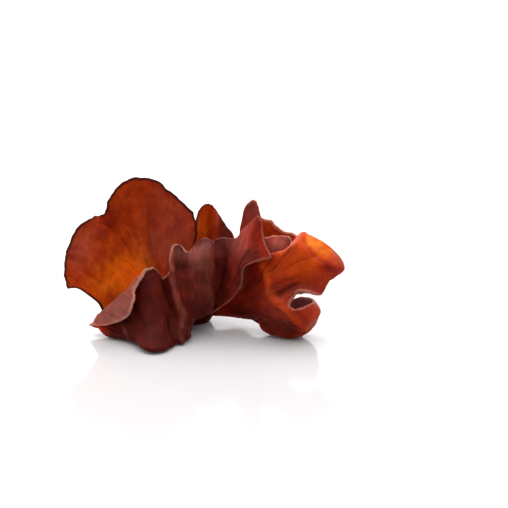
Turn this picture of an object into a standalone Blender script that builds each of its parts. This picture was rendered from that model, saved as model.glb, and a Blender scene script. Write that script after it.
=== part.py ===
"""A cluster of wood ear mushroom: seven thin folded ears on one holdfast, which is cut off flat.

Metres, +Z up. The origin is the middle of the holdfast's flat cut, and the floor is the plane z = 0.
Each ear is a sheet laid through ribs that run from the holdfast out to the free rim. The ribs are
written in millimetres, and scaled by MM.
"""

import bmesh
import bpy
import numpy as np

MM = 0.001

SHEET = 1.4 * MM  # thickness of an ear
GAP = 0.3 * MM  # air between an ear and the holdfast
ROOT_SHARE = 0.5  # how much of that an ear has at its root
FULL_THICKNESS_ROW = 3  # rows out from the root at which it is full
FLOOR_REST = SHEET / 2  # lowest that the middle of a sheet may lie, so that its underside is on z = 0
FLOOR_EASE = 1.0 * MM  # how softly a sheet bends up from the floor
COLUMNS_PER_RIB = 2
ROWS_PER_STEP = 2  # rows of faces for each point of a rib, spread evenly along it

HOLDFAST_RADII = np.array([7.0, 6.5, 7.0]) * MM
HOLDFAST_CENTRE_Z = 3.0 * MM
HOLDFAST_LEAN = 0.7  # how far it leans towards +X for its height
HOLDFAST_LUMPS = 3
LUMP_DEPTH = 0.07  # how far each lump stands out, as part of the radius
HOLDFAST_SEGMENTS = 24
HOLDFAST_RINGS = 16
CUT_EDGE_ANGLE = np.radians(50)  # edges sharper than this, round the cut, are not shaded smooth
CUTTER_FLOOR = -2 * MM  # the cutter goes below the cut, so that nothing of an ear is left there

# Each ear: the points that its root curves through inside the holdfast, those of its neck just
# outside, and its ribs from the first free side edge to the last. A rib holds the points beyond the
# neck, the last one on the rim.

FAN_ROOT = ((2.5, -1.5, 2.5), (1.5, 3, 4.5), (3.5, 2, 7.5))
FAN_NECK = ((-9.5, -0.5, 3.5), (-11.5, 3.5, 6), (-12, 6.5, 9.5), (-8.5, 5.5, 11), (-4.5, 3, 10.5))
FAN_RIBS = [
    [(-21.5, -2, 2.5), (-31.5, -7, 4), (-35.5, -11.5, 11.5), (-41.5, -15.5, 17.5), (-46.4, -17.5, 18.1)],
    [(-21, 1, 5), (-29.5, -3, 9.5), (-35.5, -8, 15.5), (-41, -13.5, 21), (-47, -17.5, 25.5)],
    [(-20.5, 3, 9), (-28.5, 0, 15), (-34.5, -6, 21.5), (-39.5, -11.5, 27), (-45.5, -16, 32.5)],
    [(-19.5, 5, 12), (-26.5, 3, 20), (-32.5, -2.5, 27.5), (-37.5, -8.5, 34), (-42.5, -13.5, 40)],
    [(-19, 6, 15), (-24.5, 4.5, 23.5), (-29.5, 0.5, 31), (-33.5, -5, 37.5), (-38.1, -9.5, 43.8)],
    [(-18.5, 6.5, 17), (-23.5, 6, 25.5), (-28, 4, 32.5), (-31.5, 0.5, 37.5), (-35, -5, 43.5)],
    [(-18, 7, 18), (-22.5, 7, 27), (-26, 6.5, 34), (-29.7, 4, 39.6), (-32.6, -0.5, 44)],
    [(-17.5, 7.5, 20), (-21.5, 7.5, 28.5), (-24.5, 7, 35.5), (-28.5, 4, 42.5), (-31.4, -1, 48.6)],
    [(-17, 7.5, 21.5), (-19.5, 7.5, 30.5), (-22.5, 6, 39), (-25.5, 2, 47), (-27.5, -3, 54.7)],
    [(-16, 8, 22.5), (-17.5, 8, 32.5), (-19.5, 6.5, 42), (-20.5, 3.5, 50.5), (-20.4, -1, 58.2)],
    [(-15, 8, 23), (-16, 8.5, 33), (-16, 8, 42), (-15.5, 5.5, 49.5), (-14.5, 1, 56.2)],
    [(-14, 7.5, 23), (-13.5, 7.5, 32.5), (-12, 6, 40.5), (-10, 3.5, 47.5), (-8, 1, 52.9)],
    [(-12.5, 6, 22), (-10.5, 5.5, 31), (-7.5, 4, 39), (-5, 2.5, 44.5), (-2.4, 1, 47.4)],
    [(-10, 4.5, 21), (-8, 4, 29), (-4.5, 2.5, 35.5), (-1, 1.5, 39.4), (2.4, 0, 40.9)],
    [(-5.5, 3, 16.5), (-3, 2, 22), (-0.3, 1, 26), (1.3, 0.5, 30.1), (2.5, 0, 33.8)],
]

FRONT_ROOT = ((-2.5, -2, 2), (-1, -4, 2), (2.5, -3.5, 4))
FRONT_NECK = (
    (-6.5, -5, 2.5), (-6.5, -11, 1.5), (-3.5, -15, 1.5),
    (0, -13, 3), (2.5, -11, 5), (6, -9.5, 7),
)
FRONT_RIBS = [
    [(-13.5, -10, 2.5), (-21, -14, 1.5), (-29.5, -16, 1.5), (-35.5, -16, 2), (-39, -16, 3.2)],
    [(-16.5, -18, 1.5), (-27, -23, 1), (-32, -20.5, 1.5), (-35.5, -17, 6), (-32, -22, 5)],
    [(-17.4, -25, 1.5), (-24, -26, 1.8), (-30, -20, 4.5), (-33, -18, 8.5), (-25.5, -27, 8)],
    [(-16.2, -30.5, 2.1), (-21.2, -28.8, 2.5), (-27, -20.5, 7.5), (-30.5, -19, 11.5), (-22, -29, 11)],
    [(-14.7, -36.5, 1.3), (-18.8, -30.5, 4.5), (-24.5, -21.5, 9.5), (-27.5, -19, 14), (-20.5, -29, 14)],
    [(-12.5, -39.5, 1), (-16.5, -29.5, 6), (-21, -21.5, 11.5), (-24, -18.5, 16.5), (-19.5, -26.5, 16.5)],
    [(-10, -39.5, 1), (-14.5, -29, 7.5), (-18.5, -21.5, 14), (-21.5, -18.5, 19), (-19.5, -23, 19)],
    [(-7.5, -37, 1), (-12.5, -27, 9.5), (-16.5, -21, 16.5), (-18.5, -18, 22.5), (-17.5, -21, 22.5)],
    [(-6, -34, 1), (-10.5, -25.5, 11.5), (-14.5, -20.5, 19.5), (-16.5, -17.5, 24), (-16, -18.5, 26)],
    [(-4.5, -31.5, 1), (-9, -22.5, 12), (-12.5, -19, 20), (-14, -16.5, 24), (-14, -16, 26.5)],
    [(-3.5, -30, 1), (-8, -20.5, 12.5), (-10.5, -17, 18.5), (-11.5, -15, 22), (-12, -14, 24.5)],
    [(-2, -29.5, 1), (-7, -19, 10.5), (-9, -15.5, 15), (-9.5, -13.5, 18.5), (-10, -13, 21.5)],
    [(-1, -28, 1.5), (-2.5, -23.5, 8), (-5, -19, 15.5), (-7, -16, 21), (-7, -14.5, 25.5)],
    [(0, -22, 3.4), (-0.5, -21, 9), (-3.5, -18, 18.5), (-6, -14.5, 26.5), (-7, -11, 32.5)],
    [(1.2, -17.5, 5.9), (1, -18.5, 10), (-1, -18, 20), (-3, -12, 27), (-4.5, -7, 33.5)],
    [(2.4, -16, 6.6), (2, -18, 11), (1, -18.5, 21), (-0.5, -13, 26.5), (-0.5, -11, 31)],
    [(3.9, -15, 6.5), (3.5, -17.5, 12), (3, -19, 22), (2.5, -16.5, 28.5), (2, -8, 33.5)],
    [(5.4, -14, 6.8), (5, -17.5, 12.5), (5.5, -19.5, 22.5), (5.5, -18, 30), (5, -8, 35.5)],
    [(6.9, -13.5, 7.3), (8, -18, 13.5), (8, -20, 23.5), (7.5, -17.5, 30), (7.5, -8.5, 35)],
    [(8, -11.5, 7.6), (9, -13.5, 12.5), (9.5, -14, 21.5), (9, -12, 28), (9, -7, 33.5)],
]

TALL_ROOT = ((5, -3, 6.5), (7.5, -4, 6), (7, -3, 3))
TALL_NECK = (
    (6.9, -7.5, 9.6), (9.1, -10, 10.8), (11.7, -13, 12.5),
    (11.9, -13.5, 11), (11.1, -12, 8.8),
)
TALL_RIBS = [
    [(7.4, -7.5, 16.8), (7.4, -6.5, 24.4), (7.6, -4.5, 29.1), (7.6, -3, 33)],
    [(9.4, -10, 17.7), (10, -9.5, 25.7), (10.9, -6.5, 30.4), (11.8, -3, 34.6)],
    [(11.1, -11, 18.2), (12.3, -10.5, 25.9), (13.6, -8, 30.8), (14.9, -4, 34.4)],
    [(12.2, -10.8, 18.1), (14.2, -11, 26.1), (15.9, -10, 31.3), (17.6, -6, 35)],
    [(13.6, -13.8, 19), (16.1, -15, 27.2), (18.4, -14, 33.3), (19.9, -7.5, 37.9)],
    [(14.6, -16, 19.3), (17.9, -18, 27.4), (20.7, -17, 34.7), (22.9, -10, 41.8)],
    [(15, -16.8, 18.9), (18.6, -19.3, 27.2), (21.8, -19, 34.5), (26.1, -12, 45)],
    [(15.4, -16.8, 18.3), (19, -19.8, 26.6), (22.2, -20, 33.2), (27.6, -15, 39.6)],
    [(15.6, -16.8, 17.3), (18.8, -19.8, 25), (22, -21, 31.5), (29, -18, 35.9)],
    [(15.7, -16.5, 15.9), (18.6, -19.7, 23.1), (21.4, -21.7, 30), (30.5, -20.5, 33.1)],
    [(16.1, -16, 13.8), (19.5, -19.5, 20.7), (21.4, -22, 28.2), (31.1, -21.5, 31.3)],
]

RIGHT_ROOT = ((8.5, -1.5, 7.5), (9.5, -2.5, 5), (7.5, -1.5, 2.5))
RIGHT_NECK = (
    (14, -5, 12.5), (18, -9.5, 12.5), (23, -14, 12.5), (26, -17.5, 11),
    (25.5, -17, 8), (22, -12, 5.2), (16.5, -4.5, 4),
)
RIGHT_RIBS = [
    [(19.1, -11, 16.6), (21, -13, 23.9), (24.8, -15, 28.2), (28.9, -15, 29.5)],
    [(22.1, -12.5, 19), (24.8, -15, 25.6), (28.5, -16.5, 29.7), (32.6, -15, 30.7)],
    [(25.9, -15.5, 21.5), (29.3, -18, 28), (33, -18.5, 31.8), (36, -15, 32.6)],
    [(28.5, -18.8, 23.4), (33.7, -20.5, 31), (37.4, -19.8, 34.7), (39.4, -14.5, 36)],
    [(30, -20.2, 24.4), (36.6, -21, 32.9), (40.5, -21, 36.9), (42.2, -14, 38.7)],
    [(30.7, -21, 24.2), (38.5, -21.8, 31.7), (42.8, -23.3, 35.6), (45.7, -15, 38.9)],
    [(31.3, -21.5, 23.6), (40.3, -22.5, 30), (45.4, -25, 32.8), (50.2, -16, 35.7)],
    [(31.6, -21.8, 22.5), (41.8, -23, 28), (47.9, -25.5, 30.7), (54.8, -17.5, 32.6)],
    [(31.8, -22, 21.4), (42.5, -23.3, 26), (52, -25.3, 28.1), (58.3, -20, 26.6)],
    [(31.8, -22, 20.2), (41.8, -23, 23.8), (48.4, -24, 24.3), (52.6, -22, 22.6)],
    [(31.7, -22, 19.1), (39.6, -21.8, 21.5), (45.5, -24, 20.8), (49.3, -23.5, 17.6)],
    [(31.5, -22, 17.9), (37.4, -21.5, 19.7), (41.8, -25.5, 19.7), (44.3, -28, 21.2)],
    [(31.3, -22, 16.7), (35.2, -21.8, 17.9), (38.1, -24.8, 18), (41, -27, 20)],
    [(31.1, -22, 15.2), (33.7, -22.8, 15.6), (36.3, -25, 16.7), (39.5, -27, 17.9)],
    [(31.3, -22.8, 13.7), (33.9, -25, 14), (35.7, -27, 14.8), (37.9, -28, 15.9)],
    [(31.8, -23.8, 12.2), (35.9, -27, 12.1), (38, -29, 12.9), (39.3, -29.3, 14.3)],
    [(32.6, -24.6, 10.9), (38.4, -29, 11.1), (42.1, -30, 12.6), (41.9, -29.7, 14.6)],
    [(33, -25, 9.9), (40.6, -29, 9.2), (46.2, -28.5, 10.6), (44.5, -28.5, 15.8)],
    [(32.6, -24.8, 9), (41.8, -27.5, 6.8), (48.6, -24, 10.7), (46.7, -23.5, 15.5)],
    [(31.9, -24.3, 8.3), (41.9, -26, 4), (48.4, -20.5, 8.1), (44.5, -18.5, 15.3)],
    [(30.7, -23.5, 7.7), (39.7, -24.3, 1.6), (47.4, -18, 5.3), (41.6, -16, 14.7)],
    [(29.6, -22.5, 7.1), (36, -23.3, 0.7), (43.7, -16.5, 2.4), (38.2, -13.5, 12.2)],
    [(28.2, -19.5, 6.6), (32.3, -21, 1.1), (41.1, -17, 0.2), (37.4, -12.5, 5.9)],
    [(25.5, -15, 5.7), (29.3, -18.5, 2.9), (34.6, -16.5, 0.4), (38.5, -12.5, 1.9)],
    [(22.9, -11, 5.1), (26.3, -13, 4.3), (29.4, -13, 3.3), (32, -12, 2.6)],
    [(20.5, -6.5, 4.5), (23.5, -7.5, 4.5), (26.5, -9, 4.5), (29, -10.5, 5)],
]

BACK_ROOT = ((2.5, 3.5, 5), (4, 4.5, 5), (6, 4, 5.5))
BACK_NECK = ((3, 7, 8), (6.5, 10.5, 9), (9, 8, 7.5))
BACK_RIBS = [
    [(2, 9, 19), (0.5, 5, 30)],
    [(2.5, 11, 21.5), (2, 6, 38)],
    [(4.5, 12, 22), (3.5, 8, 43)],
    [(6, 12.5, 23), (6.5, 9, 45.2)],
    [(8, 11.5, 22.5), (8.9, 8, 44.2)],
    [(10, 12, 22), (11.1, 12.5, 39.5)],
    [(12, 11.5, 21.5), (13.8, 13, 35)],
    [(14, 10.3, 20), (16.5, 11.5, 31.3)],
    [(14.3, 8.7, 16.5), (17.3, 10, 26)],
]

RIGHT_BACK_ROOT = ((7, 3.5, 5.5), (8.5, 3.5, 5.5), (9.5, 2.5, 5))
RIGHT_BACK_NECK = ((13, 8, 8.5), (17, 10, 9), (21, 6, 6.5))
RIGHT_BACK_RIBS = [
    [(17.5, 10, 21), (19, 11, 34)],
    [(20, 12, 23), (22.5, 12, 38.2)],
    [(23, 13, 24), (26.4, 13, 39)],
    [(25.5, 13, 24), (30.3, 12, 38)],
    [(28.5, 11.5, 23.5), (33.4, 11, 36.2)],
    [(30.5, 9, 22.5), (36.2, 10, 34)],
    [(32.5, 7.5, 22), (39.6, 7, 34)],
    [(33.5, 4, 20), (42.1, 1, 33.4)],
]

INNER_ROOT = ((5.5, 1, 9), (7.5, 1, 9), (9.5, 0.8, 8))
INNER_NECK = ((9.5, -1, 13.5), (13.5, -2, 13.5), (17, -3.5, 10.5))
INNER_RIBS = [
    [(16.3, -3, 19.5), (19, -3.5, 27.6), (19.4, -2.5, 34.9)],
    [(17.7, -4.6, 20.4), (20.6, -5.5, 30.1), (20.2, -3.5, 42.6)],
    [(19, -5.7, 21), (22.1, -6.5, 31.9), (21.6, -5, 47.8)],
    [(20.2, -6.2, 21.5), (23.6, -7, 32.9), (23.5, -5.5, 50)],
    [(21.3, -6.3, 21.6), (24.8, -7, 32.1), (25.5, -5, 48.6)],
    [(22.5, -6.2, 21.4), (25.9, -6, 31), (26.7, -3.5, 43.4)],
    [(23.8, -6.2, 21.1), (27.4, -6, 29.5), (27.8, -2, 35.1)],
    [(25.2, -6.7, 20.8), (29.7, -6.5, 29.2), (31.7, 0, 34.4)],
    [(26.5, -7.3, 20.1), (32, -7.5, 29.1), (35.5, 0, 34.6)],
    [(27.7, -7.8, 19.1), (34.3, -8, 28), (38.6, -2, 34.5)],
    [(28.6, -8, 17.7), (35.8, -8, 25.3), (40, -5, 30.8)],
]


def clear_scene():
    for obj in list(bpy.data.objects):
        bpy.data.objects.remove(obj, do_unlink=True)


def new_collection(name):
    collection = bpy.data.collections.new(name)
    bpy.context.scene.collection.children.link(collection)
    return collection


def flesh(name, colour, roughness):
    material = bpy.data.materials.new(name)
    material.use_nodes = True
    shader = material.node_tree.nodes["Principled BSDF"]
    shader.inputs["Base Color"].default_value = (*colour, 1)
    shader.inputs["Roughness"].default_value = roughness
    shader.inputs["Metallic"].default_value = 0
    return material


def through(points, at):
    """The Catmull-Rom curve through the rows of points, at each value of at, one unit from row to row."""
    points = np.asarray(points, float)
    ends = 2 * points[[0, -1]] - points[[1, -2]]
    padded = np.concatenate([ends[:1], points, ends[1:]])
    row = np.clip(np.floor(at).astype(int), 0, len(points) - 2)
    step = (at - row).reshape((-1,) + (1,) * (points.ndim - 1))
    a, b, c, d = (padded[row + i] for i in range(4))
    bend = 2 * a - 5 * b + 4 * c - d + step * (3 * (b - c) + d - a)
    return b + 0.5 * step * (c - a + step * bend)


def rib_table(root, neck, ribs):
    """Each rib with its own points on the root's and the neck's curve in front, evenly spaced there."""
    starts = [through(curve, np.linspace(0, len(curve) - 1, len(ribs)))[:, None] for curve in (root, neck)]
    return np.concatenate([*starts, np.array(ribs, float)], axis=1) * MM


def even_rows(table, rows):
    """Where along the ribs' points the rows of faces come, so that they are about evenly far apart."""
    steps = np.linalg.norm(np.diff(table, axis=1), axis=2).mean(axis=0)
    reached = np.concatenate([[0], np.cumsum(steps)])
    return np.interp(np.linspace(0, reached[-1], rows + 1), reached, np.arange(len(reached)))


def make_ear(name, curves, material, collection, holdfast_cutter):
    """A grid bent through the ribs, thickened both ways, and cut back from the holdfast."""
    table = rib_table(*curves)
    columns = (table.shape[0] - 1) * COLUMNS_PER_RIB
    rows = (table.shape[1] - 1) * ROWS_PER_STEP
    grid = bmesh.new()
    bmesh.ops.create_grid(grid, x_segments=columns, y_segments=rows, size=1)
    flat = np.array([vertex.co for vertex in grid.verts])
    along = np.round((flat[:, 0] + 1) / 2 * columns).astype(int)
    out = np.round((flat[:, 1] + 1) / 2 * rows).astype(int)
    lofted = through(table, np.arange(columns + 1) / COLUMNS_PER_RIB)
    lofted = through(lofted.swapaxes(0, 1), even_rows(table, rows))
    depth = lofted[..., 2] - FLOOR_REST
    lofted[..., 2] = FLOOR_REST + (depth + np.hypot(depth, FLOOR_EASE)) / 2
    for vertex, place in zip(grid.verts, lofted[out, along]):
        vertex.co = place
    bmesh.ops.recalc_face_normals(grid, faces=grid.faces)
    mesh = bpy.data.meshes.new(name)
    grid.to_mesh(mesh)
    grid.free()
    mesh.shade_smooth()
    mesh.materials.append(material)
    ear = bpy.data.objects.new(name, mesh)
    collection.objects.link(ear)
    body = ear.vertex_groups.new(name="body")
    for vertex, row in zip(mesh.vertices, out):
        body.add([vertex.index], min(row / FULL_THICKNESS_ROW, 1), "REPLACE")
    sheet = ear.modifiers.new("sheet", "SOLIDIFY")
    sheet.thickness = SHEET
    sheet.offset = 0
    sheet.vertex_group = body.name
    sheet.thickness_vertex_group = ROOT_SHARE
    cut = ear.modifiers.new("holdfast", "BOOLEAN")
    cut.operation = "DIFFERENCE"
    cut.object = holdfast_cutter
    return ear


def make_knob(name, grow, floor, collection):
    """A lumpy ball, grown outwards by grow and sliced off flat at z = floor."""
    knob = bmesh.new()
    bmesh.ops.create_uvsphere(
        knob, u_segments=HOLDFAST_SEGMENTS, v_segments=HOLDFAST_RINGS, radius=1
    )
    for vertex in knob.verts:
        turn = np.arctan2(vertex.co.y, vertex.co.x)
        level = np.hypot(vertex.co.x, vertex.co.y)
        lump = 1 + LUMP_DEPTH * level * np.cos(HOLDFAST_LUMPS * turn)
        vertex.co = np.array(vertex.co) * (HOLDFAST_RADII * lump + grow) + (0, 0, HOLDFAST_CENTRE_Z)
        vertex.co.x += HOLDFAST_LEAN * vertex.co.z
    everything = knob.verts[:] + knob.edges[:] + knob.faces[:]
    sliced = bmesh.ops.bisect_plane(
        knob, geom=everything, plane_co=(0, 0, floor), plane_no=(0, 0, 1), clear_inner=True
    )
    rim = [item for item in sliced["geom_cut"] if isinstance(item, bmesh.types.BMEdge)]
    bmesh.ops.contextual_create(knob, geom=rim)
    bmesh.ops.recalc_face_normals(knob, faces=knob.faces)
    mesh = bpy.data.meshes.new(name)
    knob.to_mesh(mesh)
    knob.free()
    mesh.shade_smooth()
    mesh.set_sharp_from_angle(angle=CUT_EDGE_ANGLE)
    obj = bpy.data.objects.new(name, mesh)
    collection.objects.link(obj)
    return obj


def main():
    clear_scene()
    mushroom = new_collection("wood_ear_mushroom")
    cutters = new_collection("cutters")

    holdfast = make_knob("holdfast", 0, 0, mushroom)
    holdfast.data.materials.append(flesh("holdfast_bark_brown", (0.06, 0.02, 0.015), 0.7))
    cutter = make_knob("holdfast_cutter", GAP, CUTTER_FLOOR, cutters)
    cutter.hide_render = True
    cutter.display_type = "WIRE"

    ears = (
        ("fan_ear", (FAN_ROOT, FAN_NECK, FAN_RIBS), (0.45, 0.10, 0.02), 0.35),
        ("front_ear", (FRONT_ROOT, FRONT_NECK, FRONT_RIBS), (0.14, 0.03, 0.02), 0.55),
        ("tall_ear", (TALL_ROOT, TALL_NECK, TALL_RIBS), (0.18, 0.04, 0.03), 0.50),
        ("right_ear", (RIGHT_ROOT, RIGHT_NECK, RIGHT_RIBS), (0.42, 0.09, 0.01), 0.35),
        ("back_ear", (BACK_ROOT, BACK_NECK, BACK_RIBS), (0.40, 0.11, 0.02), 0.40),
        ("right_back_ear", (RIGHT_BACK_ROOT, RIGHT_BACK_NECK, RIGHT_BACK_RIBS), (0.35, 0.06, 0.02), 0.40),
        ("inner_ear", (INNER_ROOT, INNER_NECK, INNER_RIBS), (0.25, 0.10, 0.08), 0.50),
    )
    for name, curves, colour, roughness in ears:
        make_ear(name, curves, flesh(f"{name}_flesh", colour, roughness), mushroom, cutter)


main()
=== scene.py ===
import itertools
import math

import bpy
import numpy as np
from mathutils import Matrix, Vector


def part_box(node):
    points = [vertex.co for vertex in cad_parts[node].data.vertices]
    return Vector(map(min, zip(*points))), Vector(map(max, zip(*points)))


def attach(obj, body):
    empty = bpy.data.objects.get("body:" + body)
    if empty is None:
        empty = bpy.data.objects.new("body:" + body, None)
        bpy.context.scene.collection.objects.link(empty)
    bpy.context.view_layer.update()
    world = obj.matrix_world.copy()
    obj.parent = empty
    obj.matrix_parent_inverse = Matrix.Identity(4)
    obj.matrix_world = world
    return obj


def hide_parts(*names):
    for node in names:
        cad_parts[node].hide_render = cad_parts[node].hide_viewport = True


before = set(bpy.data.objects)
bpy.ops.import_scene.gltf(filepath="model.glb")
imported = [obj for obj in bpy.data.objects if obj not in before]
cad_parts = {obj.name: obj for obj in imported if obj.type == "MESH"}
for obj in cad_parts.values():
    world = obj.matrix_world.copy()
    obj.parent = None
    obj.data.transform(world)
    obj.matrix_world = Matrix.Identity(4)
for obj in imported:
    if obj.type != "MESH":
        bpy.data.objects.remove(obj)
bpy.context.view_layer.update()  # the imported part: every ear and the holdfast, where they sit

mm = 0.001
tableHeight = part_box("holdfast")[0].z / mm  # the flat cut lies on the table
print("stage 1: frame loaded, table at", round(tableHeight, 3), "mm")


# Catmull-Rom curve through rows of points: between two rows it is the cubic that leaves the first and
# reaches the second with the slope of the line joining their neighbours.
def curveThrough(points, at):
    points = np.asarray(points, float)
    ends = 2 * points[[0, -1]] - points[[1, -2]]
    padded = np.concatenate([ends[:1], points, ends[1:]])
    row = np.clip(np.floor(at).astype(int), 0, len(points) - 2)
    step = (at - row).reshape((-1,) + (1,) * (points.ndim - 1))
    a, b, c, d = (padded[row + i] for i in range(4))
    return b + 0.5 * step * (c - a + step * (2 * a - 5 * b + 4 * c - d + step * (3 * (b - c) + d - a)))


# Value noise from -1 to 1: a fixed random number at every corner of a lattice of that size, blended
# between corners with 3t^2 - 2t^3.
def softNoise(places, size, seed):
    scaled = places / np.asarray(size, float)
    cell = np.floor(scaled).astype(np.int64)
    part = scaled - cell
    part = part * part * (3 - 2 * part)
    primes = np.array([73856093, 19349663, 83492791])[: places.shape[-1]]
    total = 0.0
    for corner in itertools.product((0, 1), repeat=places.shape[-1]):
        mixed = ((cell + corner) * primes).sum(-1) + seed * 2654435
        mixed = (mixed ^ (mixed >> 13)) * 1274126177
        value = ((mixed ^ (mixed >> 16)) & 65535) / 65535
        total = total + value * np.where(corner, part, 1 - part).prod(-1)
    return 2 * total - 1


# 0 below low, 1 above high, 3t^2 - 2t^3 between.
def smoothStep(low, high, value):
    t = np.clip((value - low) / (high - low), 0, 1)
    return t * t * (3 - 2 * t)


# Length walked along an axis of a grid of points, from the first line of points to each one.
def walked(points, axis):
    steps = np.linalg.norm(np.diff(points, axis=axis), axis=-1)
    start = np.zeros_like(np.take(steps, [0], axis=axis))
    return np.concatenate([start, np.cumsum(steps, axis=axis)], axis=axis)


def unit(vectors):
    return vectors / np.maximum(np.linalg.norm(vectors, axis=-1, keepdims=True), 1e-9)


# Mean of each grid value and its four neighbours, a few times over.
def eased(values, times):
    for _ in range(times):
        padded = np.pad(values, 1, mode="edge")
        around = padded[:-2, 1:-1] + padded[2:, 1:-1] + padded[1:-1, :-2] + padded[1:-1, 2:]
        values = (2 * values + around) / 6
    return values


flesh = {
    "grid": 0.5,  # mm between points of the skin
    "lip": 0.75,  # mm over which the rim rounds off
    "lipRows": 6,  # rows of points round it
    "lipPart": 0.1,  # part of a rib, next to the rim, whose rows are measured back from the rim
    "fineSteps": 48,  # places between two points of a rib when its length is measured
    "nibbles": [(2.6, 0.5), (0.9, 0.2)],  # mm along the rim, depth as part of the ear's nibble
    "nibbleMean": 0.35,
    "wrinkles": [(3.2, 22, 0.26), (1.7, 12, 0.12), (6.5, 7, 0.3), (0.9, 2.4, 0.04)],  # across, along, height
    "creases": [(5.0, 16, 0.5), (2.6, 9, 0.25)],
    "creaseWidth": 0.22,  # how far from 0 the noise still makes a crease
    "growing": (2, 16),  # mm from the root over which the relief rises to its full height
    "roomy": (0.3, 0.9),  # part of the usual gap between ribs over which it does so
    "ruffle": (4.5, 9),  # mm across and along
    "ruffleReach": 5,  # mm in from the rim
    "bend": 1.7,  # thickness times curvature, at most
    "crowded": 0.05,  # mm; points closer than this count as this far apart
    "bendEase": 2,  # times the curvature is evened out
    "thickEase": 3,  # and the thickness
    "rootThick": 0.55,  # part of the thickness that is left at the root
    "thickening": (2, 14),  # mm from the root over which the rest comes
    "rimSpread": 0.75,  # how much nearer the edge a rim patch makes the skin count as
    "lineSteps": 12,  # places walked between two points of a fold's line
    "lineDepth": (1, 0.4, 1),  # how much each way counts in the distance to it
    "floorEase": 1.0,
}


# A count of places from 0 to total. The first and last few lie within lip of the ends, at
# lip(1 - sin a) for evenly spaced angles a, and the rest are evenly spread between.
def spread(total, lip, count, bothEnds):
    turn = lip * (1 - np.sin(np.linspace(math.pi / 2, 0, flesh["lipRows"] + 1)))[:-1]
    body = np.linspace(lip if bothEnds else 0, total - lip, count)
    return np.concatenate([turn, body, total - turn[::-1]] if bothEnds else [body, total - turn[::-1]])


# The middle of an ear, in mm: a surface of u across its ribs and v along them. A rib starts on the root
# curve, goes through the neck curve and then its own points, and both ways the surface is a Catmull-Rom
# curve. Rows are placed by length walked, and every rib is nibbled short by a little noise at the rim.
def earMiddle(ear):
    count = len(ear["ribs"])
    starts = [curveThrough(c, np.linspace(0, len(c) - 1, count))[:, None] for c in (ear["root"], ear["neck"])]
    table = np.concatenate([*starts, np.array(ear["ribs"], float)], axis=1)
    ribGap = np.linalg.norm(np.diff(table[:, 2:], axis=0), axis=-1).mean()
    across = spread(count - 1, flesh["lip"] / ribGap, round((count - 1) * ribGap / flesh["grid"]), True)
    crossed = curveThrough(table, across)
    lastRow = table.shape[1] - 1
    fine = np.linspace(0, lastRow, flesh["fineSteps"] * lastRow + 1)
    dense = curveThrough(crossed.swapaxes(0, 1), fine).swapaxes(0, 1)
    length = walked(dense, 1)
    acrossMm = across * ribGap
    nibble = flesh["nibbleMean"] + sum(
        deep * softNoise(acrossMm[:, None], size, ear["seed"] + k)
        for k, (size, deep) in enumerate(flesh["nibbles"])
    )
    full = length[:, -1:] - ear["nibble"] * nibble[:, None]
    lipPart = flesh["lipPart"]
    rows = spread(1, lipPart, round(length[:, -1].mean() / flesh["grid"]), False)
    body = rows[rows <= 1 - lipPart] / (1 - lipPart)
    lipRows = (1 - rows[rows > 1 - lipPart]) / lipPart * flesh["lip"]
    along = np.concatenate([body * (full - flesh["lip"]), full - lipRows], axis=1)
    lift = np.arange(len(across))[:, None] * 1000.0  # keeps the ribs apart when all are looked up at once
    counter = np.tile(np.arange(len(fine), dtype=float), len(across))
    at = np.interp((along + lift).ravel(), (length + lift).ravel(), counter).reshape(along.shape)
    row = np.clip(np.floor(at).astype(int), 0, len(fine) - 2)
    rib = np.arange(len(across))[:, None]
    part = (at - row)[..., None]
    middle = dense[rib, row] * (1 - part) + dense[rib, row + 1] * part
    flow = np.stack(np.broadcast_arrays(acrossMm[:, None], along), axis=-1)
    return middle, flow, full - along


def normalsOf(grid):
    return unit(np.cross(np.gradient(grid, axis=0), np.gradient(grid, axis=1)))


# A closed skin round a middle surface: each side is the middle moved along its normal by half the
# thickness, and on the border, where the thickness is 0, both sides share their points.
def closedSkin(name, middle, half, normals, values, materials):
    wide, tall = middle.shape[:2]
    front = np.arange(wide * tall).reshape(wide, tall)
    back = front.copy()
    back[1:-1, 1:-1] = wide * tall + np.arange((wide - 2) * (tall - 2)).reshape(wide - 2, tall - 2)
    inside = (slice(1, -1), slice(1, -1))
    offset = normals * half[..., None]
    places = np.concatenate([(middle + offset).reshape(-1, 3), (middle - offset)[inside].reshape(-1, 3)])
    quads = [
        np.stack([k[:-1, :-1], k[1:, :-1], k[1:, 1:], k[:-1, 1:]], axis=-1).reshape(-1, 4)
        for k in (front, back)
    ]
    faces = np.concatenate([quads[0], quads[1][:, ::-1]])
    mesh = bpy.data.meshes.new(name)
    mesh.vertices.add(len(places))
    mesh.vertices.foreach_set("co", (places * mm).astype(np.float32).ravel())
    mesh.loops.add(faces.size)
    mesh.loops.foreach_set("vertex_index", faces.astype(np.int32).ravel())
    mesh.polygons.add(len(faces))
    mesh.polygons.foreach_set("loop_start", np.arange(0, faces.size, 4, dtype=np.int32))
    side = np.repeat(np.array([0, 1], np.int32), len(quads[0]))
    mesh.polygons.foreach_set("material_index", side)
    mesh.update(calc_edges=True)
    mesh.validate()
    mesh.shade_smooth()
    for key, value in values.items():
        size = value[0, 0].size
        both = np.concatenate([value.reshape(-1, size), value[inside].reshape(-1, size)]).astype(np.float32)
        kind, field = ("FLOAT_VECTOR", "vector") if size == 3 else ("FLOAT", "value")
        mesh.attributes.new(key, kind, "POINT").data.foreach_set(field, both.ravel())
    for material in materials:
        mesh.materials.append(material)
    piece = bpy.data.objects.new(name, mesh)
    bpy.context.scene.collection.objects.link(piece)
    return piece


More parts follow.
